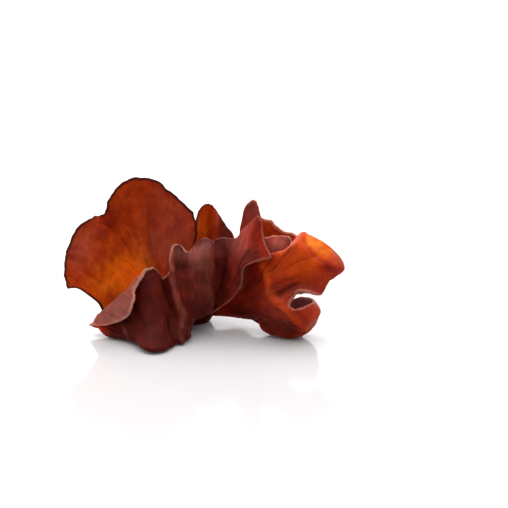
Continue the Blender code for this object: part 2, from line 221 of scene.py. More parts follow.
# A soft spread over an ear: the sum of bumps amount exp(-(distance / reach)^2) round its patches.
def patched(patches, middle):
    total = np.zeros(middle.shape[:2])
    for centre, reach, amount in patches:
        away = (middle - np.array(centre)) / np.array(reach)
        total = total + amount * np.exp(-(away * away).sum(-1))
    return np.clip(total, -1, 1)


# How near an ear's points lie to a line drawn over it: exp(-(d / width)^2) for the distance d to the nearest
# of the places walked along the line, where depth counts for less than height and width.
def nearLine(points, width, middle):
    nearest = np.full(middle.shape[:2], np.inf)
    for place in curveThrough(points, np.linspace(0, len(points) - 1, flesh["lineSteps"] * len(points))):
        away = (middle - place) * flesh["lineDepth"]
        nearest = np.minimum(nearest, np.linalg.norm(away, axis=-1))
    return np.exp(-((nearest / width) ** 2))


# Relief: the middle surface is moved along its normals by noise in ear coordinates, a crease being
# (1 - |noise| / width)^2 deep, and by a ruffle that fades as exp(-d / reach) in from the rim. It grows
# from the root outwards and fades where the ribs crowd.
def withRelief(ear, middle, flow, toRim):
    normals = normalsOf(middle)
    relief = sum(
        height * softNoise(flow, (acrossSize, alongSize), ear["seed"] + 10 + k)
        for k, (acrossSize, alongSize, height) in enumerate(flesh["wrinkles"])
    )
    for k, (acrossSize, alongSize, deep) in enumerate(flesh["creases"]):
        noise = np.abs(softNoise(flow, (acrossSize, alongSize), ear["seed"] + 30 + k))
        relief = relief - deep * np.clip(1 - noise / flesh["creaseWidth"], 0, 1) ** 2
    gap = np.linalg.norm(np.gradient(middle, axis=0), axis=-1)
    usualGap = np.maximum(np.gradient(flow[..., 0], axis=0), 1e-3)
    out = smoothStep(*flesh["growing"], flow[..., 1]) * smoothStep(*flesh["roomy"], gap / usualGap)
    middle = middle + normals * (relief * ear["wrinkled"] * out)[..., None]
    ruffle = softNoise(flow, flesh["ruffle"], ear["seed"] + 20) * np.exp(-toRim / flesh["ruffleReach"])
    return middle + normals * (ruffle * ear["ruffled"] * out)[..., None]


# Folds: near each line the surface moves along its normals, towards the front for a positive height, and
# takes on the line's tone, painted shade in a crease and a painted highlight on a ridge, and its bloom with
# painted sheen.
def withFolds(ear, middle, normals):
    towardsFront = -normals * np.sign(normals[..., 1].mean())
    foldShadeAndHighlight = foldBloomAndSheen = np.zeros(middle.shape[:2])
    for line, width, height, tone, bloomAndSheen in ear["folds"]:
        near = nearLine(line, width, middle)
        middle = middle + towardsFront * (near * height)[..., None]
        foldShadeAndHighlight = foldShadeAndHighlight + near * tone
        foldBloomAndSheen = foldBloomAndSheen + near * bloomAndSheen
    return middle, foldShadeAndHighlight, foldBloomAndSheen


# Half the thickness: T sqrt(1 - (1 - d / lip)^2) / 2 at a distance d from the edge, less where the flesh is
# thin, where it bends tightly and at the root, and 0 on the border.
def halfThickness(ear, middle, normals, flow, thinAndPaintedLight, toRim, toSide):
    curl = [
        np.linalg.norm(np.gradient(normals, axis=k), axis=-1)
        / np.maximum(np.linalg.norm(np.gradient(middle, axis=k), axis=-1), flesh["crowded"])
        for k in (0, 1)
    ]
    tightest = flesh["bend"] / np.maximum(eased(np.maximum(*curl), flesh["bendEase"]), 1e-3)
    thick = np.minimum(ear["thick"] * (1 - ear["thinning"] * np.maximum(thinAndPaintedLight, 0)), tightest)
    rootThick = flesh["rootThick"]
    thick = thick * (rootThick + (1 - rootThick) * smoothStep(*flesh["thickening"], flow[..., 1]))
    over = [np.clip(d / flesh["lip"], 0, 1) for d in (toRim, toSide)]
    half = eased(thick, flesh["thickEase"]) / 2
    for part in over:
        half = half * np.sqrt(part * (2 - part))
    half[[0, -1]] = 0
    half[:, [0, -1]] = 0
    return half


# An ear's skin. Its middle surface gets its relief and folds and is lifted off the table by
# rest + (d + sqrt(d^2 + ease^2)) / 2 for a height d over the rest height.
def makeEar(ear):
    middle, flow, toRim = earMiddle(ear)
    normals = normalsOf(middle)
    middle = withRelief(ear, middle, flow, toRim)
    middle, foldShadeAndHighlight, foldBloomAndSheen = withFolds(ear, middle, normals)
    rest = tableHeight + ear["thick"] / 2
    above = middle[..., 2] - rest
    middle[..., 2] = rest + (above + np.hypot(above, flesh["floorEase"])) / 2
    normals = normalsOf(middle)
    acrossWalk = walked(middle, 0)
    toSide = np.minimum(acrossWalk, acrossWalk[-1:] - acrossWalk)
    # Thin patches: thinner flesh with a painted backlit glow on its tone; negative ones paint shade
    thinAndPaintedLight = patched(ear["patches"], middle)
    half = halfThickness(ear, middle, normals, flow, thinAndPaintedLight, toRim, toSide)
    values = {
        "flow": np.concatenate([flow, np.zeros_like(flow[..., :1])], axis=-1),
        "thinAndPaintedLight": np.clip(thinAndPaintedLight + foldShadeAndHighlight, -1, 1),
        "bloomAndSheen": patched(ear["bloomAndSheenPatches"], middle) + foldBloomAndSheen,
        "edge": np.minimum(toRim, toSide) * (1 - flesh["rimSpread"] * patched(ear["rims"], middle)),
    }
    name = ear["node"] + "_skin"
    looks = [
        fleshMaterial(f"{ear['node']} {side}", {**ear["look"], **ear[side]}) for side in ("smooth", "felted")
    ]
    smoothUp = (normals.mean(axis=(0, 1)) @ np.array(ear["smoothTowards"])) > 0
    piece = closedSkin(name, middle, half, normals, values, looks if smoothUp else looks[::-1])
    low, high = (np.array(c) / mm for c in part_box(ear["node"]))
    places = middle.reshape(-1, 3)
    print(f"  {name}: {len(piece.data.polygons) * 2} triangles, past its CAD box by",
          np.round(low - places.min(0), 1), np.round(places.max(0) - high, 1), "mm")
    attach(piece, "root")
    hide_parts(ear["node"])


# One shader node with its settings and inputs; an input given as another node's output is linked.
def put(tree, kind, inputs, **settings):
    node = tree.nodes.new("ShaderNode" + kind)
    for name, value in settings.items():
        setattr(node, name, value)
    for key, value in inputs.items():
        if isinstance(value, bpy.types.NodeSocket):
            tree.links.new(value, node.inputs[key])
        else:
            node.inputs[key].default_value = value
    return node.outputs


def calc(tree, operation, a, b=0.0, c=0.0):
    return put(tree, "Math", {0: a, 1: b, 2: c}, operation=operation)[0]


def noiseNode(tree, vector, scale, detail, roughness):
    inputs = {"Vector": vector, "Scale": scale, "Detail": detail, "Roughness": roughness}
    return put(tree, "TexNoise", inputs)[0]


# One range of values carried over to another, and held at its ends.
def mapped(tree, value, before, after):
    ends = {"From Min": before[0], "From Max": before[1], "To Min": after[0], "To Max": after[1]}
    return put(tree, "MapRange", {"Value": value, **ends})[0]


def mixColours(tree, factor, a, b, blend="MIX"):
    return put(tree, "Mix", {0: factor, 6: a, 7: b}, data_type="RGBA", blend_type=blend, clamp_factor=True)[2]


def ramp(tree, factor, stops):
    node = tree.nodes.new("ShaderNodeValToRGB")
    tree.links.new(factor, node.inputs[0])
    elements = node.color_ramp.elements
    while len(elements) < len(stops):
        elements.new(1.0)
    for element, (position, colour) in zip(elements, stops):
        element.position = position
        element.color = (*colour, 1)
    return node.outputs[0]


# Flesh: a ramp of tones read at the thinness, which paints a backlit glow where the flesh is thin and shade
# where patches and creases are marked dark, plus streaks that follow the ribs and a soft cloud, a bloom with
# painted sheen in patches, a painted rim tone laid over within a wavering width of the edge, and light that
# scatters inside.
def fleshMaterial(name, look):
    material = bpy.data.materials.new(name)
    material.use_nodes = True
    tree = material.node_tree
    shader = tree.nodes["Principled BSDF"]
    place = put(tree, "Mapping", {0: put(tree, "TexCoord", {})["Object"], 3: (1000, 1000, 1000)})[0]
    flow = put(tree, "Attribute", {}, attribute_name="flow")["Vector"]
    thinAndPaintedLight = put(tree, "Attribute", {}, attribute_name="thinAndPaintedLight")["Fac"]
    edge = put(tree, "Attribute", {}, attribute_name="edge")["Fac"]
    along = put(tree, "Mapping", {0: flow, 3: look["streakScale"]})[0]
    streaks = noiseNode(tree, along, 1.0, *look["streakNoise"])
    cloud = noiseNode(tree, place, look["cloudScale"], *look["cloudNoise"])
    pores = noiseNode(tree, place, look["pores"], *look["poreNoise"])
    # The tone rises where the flesh is thin, a painted backlit glow, and falls where a patch or crease paints
    # shade
    tone = calc(tree, "MULTIPLY_ADD", thinAndPaintedLight, look["paintedLightTone"], look["tone"])
    tone = calc(tree, "MULTIPLY_ADD", calc(tree, "SUBTRACT", streaks, 0.5), look["streaks"], tone)
    tone = calc(tree, "MULTIPLY_ADD", calc(tree, "SUBTRACT", cloud, 0.5), look["clouds"], tone)
    colour = ramp(tree, tone, look["tones"])
    speck = mapped(tree, pores, look["grainOver"], (1 - look["grain"], 1 + look["grain"] / 2))
    specks = put(tree, "CombineColor", {0: speck, 1: speck, 2: speck})[0]
    colour = mixColours(tree, 1.0, colour, specks, "MULTIPLY")
    # Bloom and painted sheen: a pale mauve laid over in patches, partly the felt's own bloom, partly painted
    # sheen where light glances
    bloomAndSheen = calc(tree, "ADD", put(tree, "Attribute", {}, attribute_name="bloomAndSheen")["Fac"], look["bloomAndSheen"])
    patchy = mapped(tree, calc(tree, "ADD", streaks, cloud), look["bloomAndSheenOver"], look["bloomAndSheenShown"])
    colour = mixColours(tree, calc(tree, "MULTIPLY", bloomAndSheen, patchy), colour, (*look["bloomAndSheenColour"], 1))
    # The rim tone is painted light: a pale highlight along the edge on most ears, a dark outline on backlit
    # ones
    half = look["waver"] / 2  # the streaks lie round a half, so this leaves the mean rim at its width
    waver = calc(tree, "MULTIPLY_ADD", streaks, -look["waver"], edge)
    rim = mapped(tree, waver, (look["rimWidth"] - half, -look["rimPast"]), (0.0, look["rim"]))
    colour = mixColours(tree, rim, colour, (*look["rimColour"], 1))
    tree.links.new(colour, shader.inputs["Base Color"])
    rough = mapped(tree, cloud, look["roughOver"], [look["roughness"] + more for more in look["rougher"]])
    tree.links.new(rough, shader.inputs["Roughness"])
    height = calc(tree, "MULTIPLY", pores, look["fuzz"])
    relief = {"Strength": look["bumpStrength"], "Distance": look["bumpDepth"] * mm, "Height": height}
    tree.links.new(put(tree, "Bump", relief)[0], shader.inputs["Normal"])
    shader.inputs["Subsurface Weight"].default_value = 1.0
    shader.inputs["Subsurface Radius"].default_value = look["scatter"]
    shader.inputs["Subsurface Scale"].default_value = look["reach"] * mm
    shader.inputs["Specular IOR Level"].default_value = look["shine"]
    return material


earLook = {  # tone is read off tones; it rises with the thinness as a painted backlit glow, and falls where patches and creases paint shade
    "tones": [(0.0, (0.025, 0.002, 0.0015)), (0.25, (0.085, 0.005, 0.003)), (0.5, (0.27, 0.016, 0.004)),
              (0.75, (0.52, 0.06, 0.004)), (1.0, (0.9, 0.19, 0.007))],
    # the pale mauve of the bloom and of the painted sheen
    "bloomAndSheenColour": (0.36, 0.11, 0.08),
    "bloomAndSheenShown": (0.5, 1.25),  # least and most of the bloom and painted sheen that shows
    "bloomAndSheenOver": (0.7, 1.3),  # streaks plus cloud at the least and at the most
    "pores": 1.6,  # per mm
    "poreNoise": (3.0, 0.6),  # detail, roughness
    "grainOver": (0.35, 0.7),  # noise at which a pore is darkest and lightest
    "streaks": 0.2,
    "streakScale": (0.9, 0.11, 1),  # per mm across and along
    "streakNoise": (4.0, 0.6),
    "clouds": 0.35,
    "cloudScale": 0.22,
    "cloudNoise": (3.0, 0.55),
    "waver": 0.9,  # mm that the rim's width wanders
    "rimPast": 0.25,  # mm beyond the edge where the rim's tone would be full
    "roughOver": (0.3, 0.7),  # cloud at which the surface is smoothest and roughest
    "rougher": (-0.07, 0.08),  # and what that adds
    "reach": 0.8,  # mm that light travels inside, times scatter for red, green and blue
    "scatter": (1.0, 0.22, 0.06),
    "bumpDepth": 0.3,  # mm
    "bumpStrength": 0.5,
}
smallEar = {"thick": 1.2, "thinning": 0.3, "nibble": 0.7, "wrinkled": 0.8, "ruffled": 0.3}
smoothSide = {"roughness": 0.42, "shine": 0.04, "fuzz": 0.15, "grain": 0.1, "bloomAndSheen": 0.0}
feltedSide = {"roughness": 0.55, "shine": 0.04, "fuzz": 0.7, "grain": 0.25, "bloomAndSheen": 0.02}

fanEar = {
    "node": "fan_ear",
    "slot": "ear_flesh",
    "root": ((2.5, -1.5, 2.5), (1.5, 3, 4.5), (3.5, 2, 7.5)),
    "neck": ((-9.5, -0.5, 3.5), (-11.5, 3.5, 6), (-12, 6.5, 9.5), (-8.5, 5.5, 11), (-4.5, 3, 10.5)),
    "ribs": [
        [(-21.5, -2, 2.5), (-31.5, -7, 4), (-35.5, -11.5, 11.5), (-41.5, -15.5, 17.5), (-46.4, -17.5, 18.1)],
        [(-21, 1, 5), (-29.5, -3, 9.5), (-35.5, -8, 15.5), (-41, -13.5, 21), (-47, -17.5, 25.5)],
        [(-20.5, 3, 9), (-28.5, 0, 15), (-34.5, -6, 21.5), (-39.5, -11.5, 27), (-45.5, -16, 32.5)],
        [(-19.5, 5, 12), (-26.5, 3, 20), (-32.5, -2.5, 27.5), (-37.5, -8.5, 34), (-42.5, -13.5, 40)],
        [(-19, 6, 15), (-24.5, 4.5, 23.5), (-29.5, 0.5, 31), (-33.5, -5, 37.5), (-38.1, -9.5, 43.8)],
        [(-18.5, 6.5, 17), (-23.5, 6, 25.5), (-28, 4, 32.5), (-31.5, 0.5, 37.5), (-35, -5, 43.5)],
        [(-18, 7, 18), (-22.5, 7, 27), (-26, 6.5, 34), (-29.7, 4, 39.6), (-32.6, -0.5, 44)],
        [(-17.5, 7.5, 20), (-21.5, 7.5, 28.5), (-24.5, 7, 35.5), (-28.5, 4, 42.5), (-31.4, -1, 48.6)],
        [(-17, 7.5, 21.5), (-19.5, 7.5, 30.5), (-22.5, 6, 39), (-25.5, 2, 47), (-27.5, -3, 54.7)],
        [(-16, 8, 22.5), (-17.5, 8, 32.5), (-19.5, 6.5, 42), (-20.5, 3.5, 50.5), (-20.4, -1, 58.2)],
        [(-15, 8, 23), (-16, 8.5, 33), (-16, 8, 42), (-15.5, 5.5, 49.5), (-14.5, 1, 56.2)],
        [(-14, 7.5, 23), (-13.5, 7.5, 32.5), (-12, 6, 40.5), (-10, 3.5, 47.5), (-8, 1, 52.9)],
        [(-12.5, 6, 22), (-10.5, 5.5, 31), (-7.5, 4, 39), (-5, 2.5, 44.5), (-2.4, 1, 47.4)],
        [(-10, 4.5, 21), (-8, 4, 29), (-4.5, 2.5, 35.5), (-1, 1.5, 39.4), (2.4, 0, 40.9)],
        [(-5.5, 3, 16.5), (-3, 2, 22), (-0.3, 1, 26), (1.3, 0.5, 30.1), (2.5, 0, 33.8)],
    ],
    "seed": 3,
    "thick": 1.3,
    "thinning": 0.35,  # part of the thickness lost in the thinnest patch
    "nibble": 1.1,  # mm
    "wrinkled": 1.0,  # times the shared wrinkles
    "ruffled": 0.5,  # mm
    "smoothTowards": (0, -1, 0),
    "patches": [  # centre, reach, amount by which it is thin and painted brighter as a backlit glow; a negative amount paints shade
        ((-23, 3.5, 18), (14, 30, 10.5), 0.8),
        ((-33, -5, 16), (10, 30, 10), 0.27),
        ((-21, 5, 31), (6, 30, 15), 0.3),
        ((-33, 0, 38), (4, 20, 3.5), -0.35),
        ((-32, -2, 33), (6, 20, 6), 0.15),
        ((-19.5, 6, 37), (2.5, 20, 9), 0.15),
        ((-43, -14, 30), (4, 20, 12), -0.1),
    ],
    "bloomAndSheenPatches": [  # centre, reach, amount of bloom and painted sheen where the wall glances towards the light
        ((-8, 3, 34), (11, 30, 18), 0.25),
        ((-41, -13, 34), (6, 20, 9), 0.25),
        ((-12.5, 6, 27), (4.5, 20, 6), 0.25),
    ],
    "folds": [  # line, width, height towards the front, tone (painted shade in a crease, a painted highlight on a ridge), bloom with painted sheen
        ([(-34, -3, 43), (-31.6, 0, 39), (-29.8, 0.3, 35.3), (-28.1, 1.2, 31.1)], 1.0, -0.5, -0.2, 0),
        ([(-16, 6.5, 47), (-16.3, 7.7, 34.7), (-16, 7.4, 25)], 1.0, -0.4, -0.28, 0),
    ],
    "rims": [],  # centre, reach, how much wider the rim is there
    # The fan's dark rim is a painted outline where it is backlit
    "look": {**earLook, "clouds": 0.5, "tone": 0.6, "paintedLightTone": 0.38, "rim": 0.95, "rimWidth": 1.2,
             "rimColour": (0.03, 0.004, 0.003)},
    "smooth": smoothSide,
    "felted": {**feltedSide, "tone": 0.32, "paintedLightTone": 0.2, "bloomAndSheen": 0.36},
}
makeEar(fanEar)
print("stage 2: fan_ear done")

frontEar = {
    "node": "front_ear",
    "slot": "felted_flesh",
    "root": ((-2.5, -2, 2), (-1, -4, 2), (2.5, -3.5, 4)),
    "neck": (
        (-6.5, -5, 2.5), (-6.5, -11, 1.5), (-3.5, -15, 1.5),
        (0, -13, 3), (2.5, -11, 5), (6, -9.5, 7),
    ),
    "ribs": [
        [(-13.5, -10, 2.5), (-21, -14, 1.5), (-29.5, -16, 1.5), (-35.5, -16, 2), (-39, -16, 3.2)],
        [(-16.5, -18, 1.5), (-27, -23, 1), (-32, -20.5, 1.5), (-35.5, -17, 6), (-32, -22, 5)],
        [(-17.4, -25, 1.5), (-24, -26, 1.8), (-30, -20, 4.5), (-33, -18, 8.5), (-25.5, -27, 8)],
        [(-16.2, -30.5, 2.1), (-21.2, -28.8, 2.5), (-27, -20.5, 7.5), (-30.5, -19, 11.5), (-22, -29, 11)],
        [(-14.7, -36.5, 1.3), (-18.8, -30.5, 4.5), (-24.5, -21.5, 9.5), (-27.5, -19, 14), (-20.5, -29, 14)],
        [(-12.5, -39.5, 1), (-16.5, -29.5, 6), (-21, -21.5, 11.5), (-24, -18.5, 16.5), (-19.5, -26.5, 16.5)],
        [(-10, -39.5, 1), (-14.5, -29, 7.5), (-18.5, -21.5, 14), (-21.5, -18.5, 19), (-19.5, -23, 19)],
        [(-7.5, -37, 1), (-12.5, -27, 9.5), (-16.5, -21, 16.5), (-18.5, -18, 22.5), (-17.5, -21, 22.5)],
        [(-6, -34, 1), (-10.5, -25.5, 11.5), (-14.5, -20.5, 19.5), (-16.5, -17.5, 24), (-16, -18.5, 26)],
        [(-4.5, -31.5, 1), (-9, -22.5, 12), (-12.5, -19, 20), (-14, -16.5, 24), (-14, -16, 26.5)],
        [(-3.5, -30, 1), (-8, -20.5, 12.5), (-10.5, -17, 18.5), (-11.5, -15, 22), (-12, -14, 24.5)],
        [(-2, -29.5, 1), (-7, -19, 10.5), (-9, -15.5, 15), (-9.5, -13.5, 18.5), (-10, -13, 21.5)],
        [(-1, -28, 1.5), (-2.5, -23.5, 8), (-5, -19, 15.5), (-7, -16, 21), (-7, -14.5, 25.5)],
        [(0, -22, 3.4), (-0.5, -21, 9), (-3.5, -18, 18.5), (-6, -14.5, 26.5), (-7, -11, 32.5)],
        [(1.2, -17.5, 5.9), (1, -18.5, 10), (-1, -18, 20), (-3, -12, 27), (-4.5, -7, 33.5)],
        [(2.4, -16, 6.6), (2, -18, 11), (1, -18.5, 21), (-0.5, -13, 26.5), (-0.5, -11, 31)],
        [(3.9, -15, 6.5), (3.5, -17.5, 12), (3, -19, 22), (2.5, -16.5, 28.5), (2, -8, 33.5)],
        [(5.4, -14, 6.8), (5, -17.5, 12.5), (5.5, -19.5, 22.5), (5.5, -18, 30), (5, -8, 35.5)],
        [(6.9, -13.5, 7.3), (8, -18, 13.5), (8, -20, 23.5), (7.5, -17.5, 30), (7.5, -8.5, 35)],
        [(8, -11.5, 7.6), (9, -13.5, 12.5), (9.5, -14, 21.5), (9, -12, 28), (9, -7, 33.5)],
    ],
    "seed": 41,
    "thick": 1.3,
    "thinning": 0.3,
    "nibble": 0.8,
    "wrinkled": 0.8,
    "ruffled": 0.4,
    "smoothTowards": (0, 1, 0),
    # Patches: thin and painted brighter as a backlit glow at the lip's tip; negative ones paint shade on the
    # lower wall, foot and shoulder notch
    "patches": [
        ((-36.5, -17, 3), (6, 20, 4), 0.42),
        ((-33.5, -20, 3.5), (4, 20, 2.5), 0.4),
        ((-18, -27, 6), (12, 20, 7), -0.14),
        ((-2, -30, 2), (5, 20, 4), -0.12),
        ((1, -18, 18), (6, 20, 7), 0.07),
        ((-2.5, -11.5, 29), (2.5, 20, 2.5), -0.15),
    ],
    # Bloom with painted sheen: a painted highlight on the up-facing shoulder
    "bloomAndSheenPatches": [((3, -17, 29.5), (5, 20, 3), 0.4), ((4, -19, 19), (4, 20, 8), 0.12)],
    # Folds: ridges painted lighter as highlights, creases painted darker as shade; one paints the pale thick
    # rim
    "folds": [
        ([(-6.4, -16.9, 22.2), (-5.2, -18.4, 18), (-4, -20.6, 13.6), (-2.1, -23, 9.6), (-2.4, -26.4, 5.6)],
         0.8, 0.6, 0.1, 0.3),
        ([(-8.5, -20, 17), (-7.3, -23, 12.5), (-6.8, -26, 8.6), (-7.2, -32.4, 4.9)], 1.6, -0.6, -0.15, 0),
        ([(-6.9, -12, 31.8), (-7.2, -14.4, 27.8), (-6.4, -15.8, 25.1)], 0.8, 0, 0.2, 0.8),
        ([(-4.3, -11.6, 29.4), (-1.3, -11.7, 28.6), (2.2, -14.1, 30.8), (6.1, -16.5, 32.3)],
         2.0, 0.8, 0, 0.2),
        ([(-5.3, -15.1, 25.6), (-2.3, -14.5, 25.1), (0.4, -15.9, 25.9), (3.5, -19.1, 27.5),
          (6.2, -19.9, 28.5)],
         1.1, -0.6, -0.12, 0),
        ([(6.9, -20.8, 26.5), (7.6, -20.6, 18.7), (8.2, -17.4, 11.4)], 0.8, -0.5, -0.08, 0.15),
        ([(-7.5, -26, 8.6), (-6.3, -29, 5.7), (-5.4, -31.6, 3.5), (-4.3, -32.4, 1.4), (-4.4, -29, 0.6)],
         0.9, -1.1, -0.22, 0),
        ([(-3, -28.2, 3.9), (-2.4, -30, 1.4), (-2.4, -27, 0.6)], 0.9, 0.8, 0.14, 0.1),
        ([(-1.6, -28.5, 2.6), (-1, -28.5, 0.8)], 0.6, -0.9, -0.2, 0),
        ([(-0.8, -26.2, 4.4), (-0.2, -25.9, 2.4), (-0.2, -23, 1.2)], 0.8, 0.9, 0.06, 0.1),
        ([(-25, -24.5, 6), (-23.6, -26, 5), (-22, -26.5, 2.5)], 0.5, 0.4, 0.08, 0.3),
    ],
    # Rim patches: a wider pale rim, a painted highlight, at the lobe's edge, and a narrower one at the top
    "rims": [((-7.5, -13, 28), (2.5, 20, 7), 1.0), ((2, -10, 34), (8, 20, 3), -1.0)],
    "look": {**earLook, "tone": 0.23, "paintedLightTone": 0.6,
             "rim": 0.75, "rimWidth": 1.0, "rimColour": (0.42, 0.2, 0.15)},
    # The smooth side's bloom paints the lip's up-facing band with a pale sheen
    "smooth": {**smoothSide, "bloomAndSheen": 0.6},
    "felted": feltedSide,
}
makeEar(frontEar)
print("stage 2: front_ear done")

tallEar = {
    "node": "tall_ear",
    "slot": "felted_flesh",
    "root": ((5, -3, 6.5), (7.5, -4, 6), (7, -3, 3)),
    "neck": (
        (6.9, -7.5, 9.6), (9.1, -10, 10.8), (11.7, -13, 12.5),
        (11.9, -13.5, 11), (11.1, -12, 8.8),
    ),
    "ribs": [
        [(7.4, -7.5, 16.8), (7.4, -6.5, 24.4), (7.6, -4.5, 29.1), (7.6, -3, 33)],
        [(9.4, -10, 17.7), (10, -9.5, 25.7), (10.9, -6.5, 30.4), (11.8, -3, 34.6)],
        [(11.1, -11, 18.2), (12.3, -10.5, 25.9), (13.6, -8, 30.8), (14.9, -4, 34.4)],
        [(12.2, -10.8, 18.1), (14.2, -11, 26.1), (15.9, -10, 31.3), (17.6, -6, 35)],
        [(13.6, -13.8, 19), (16.1, -15, 27.2), (18.4, -14, 33.3), (19.9, -7.5, 37.9)],
        [(14.6, -16, 19.3), (17.9, -18, 27.4), (20.7, -17, 34.7), (22.9, -10, 41.8)],
        [(15, -16.8, 18.9), (18.6, -19.3, 27.2), (21.8, -19, 34.5), (26.1, -12, 45)],
        [(15.4, -16.8, 18.3), (19, -19.8, 26.6), (22.2, -20, 33.2), (27.6, -15, 39.6)],
        [(15.6, -16.8, 17.3), (18.8, -19.8, 25), (22, -21, 31.5), (29, -18, 35.9)],
        [(15.7, -16.5, 15.9), (18.6, -19.7, 23.1), (21.4, -21.7, 30), (30.5, -20.5, 33.1)],
        [(16.1, -16, 13.8), (19.5, -19.5, 20.7), (21.4, -22, 28.2), (31.1, -21.5, 31.3)],
    ],
    "seed": 83,
    **smallEar,
    "smoothTowards": (0, 1, 0),
    # Patches paint the lit tip brighter; bloom adds painted sheen there; folds paint ridges lighter and
    # creases darker; the pale rim is a painted highlight
    "patches": [
        ((28, -19.5, 35), (2.5, 20, 6), 0.45),
        ((21.5, -15, 38), (4, 20, 8), 0.3),
        ((24.5, -16, 40.5), (2.5, 20, 5), 0.2),
    ],
    "bloomAndSheenPatches": [((21, -15, 38), (4, 20, 8), 0.25), ((24.5, -16, 40.5), (2.5, 20, 5), -0.25)],
    "folds": [
        ([(10.3, -6.6, 30.4), (10.4, -9.9, 26.6), (10.4, -11.2, 21.8), (10.3, -11.4, 15.9)],
         1.2, 0.4, 0.15, 0),
        ([(13, -8, 30.8), (13.4, -11, 26.9), (13.5, -15, 19), (13.1, -15.7, 13.3)], 1.4, -0.5, -0.06, 0),
        ([(16.2, -16.4, 28.3), (17.3, -19.5, 23), (16.9, -18, 17.1), (14.6, -15.5, 12.4)], 1.2, 0.3, 0.15, 0),
    ],
    "rims": [((12, -4, 34), (8, 20, 3), -1.0)],
    "look": {**earLook, "tone": 0.24, "paintedLightTone": 0.6,
             "rim": 0.55, "rimWidth": 0.85, "rimColour": (0.38, 0.14, 0.1)},
    "smooth": smoothSide,
    "felted": feltedSide,
}
makeEar(tallEar)
print("stage 2: tall_ear done")

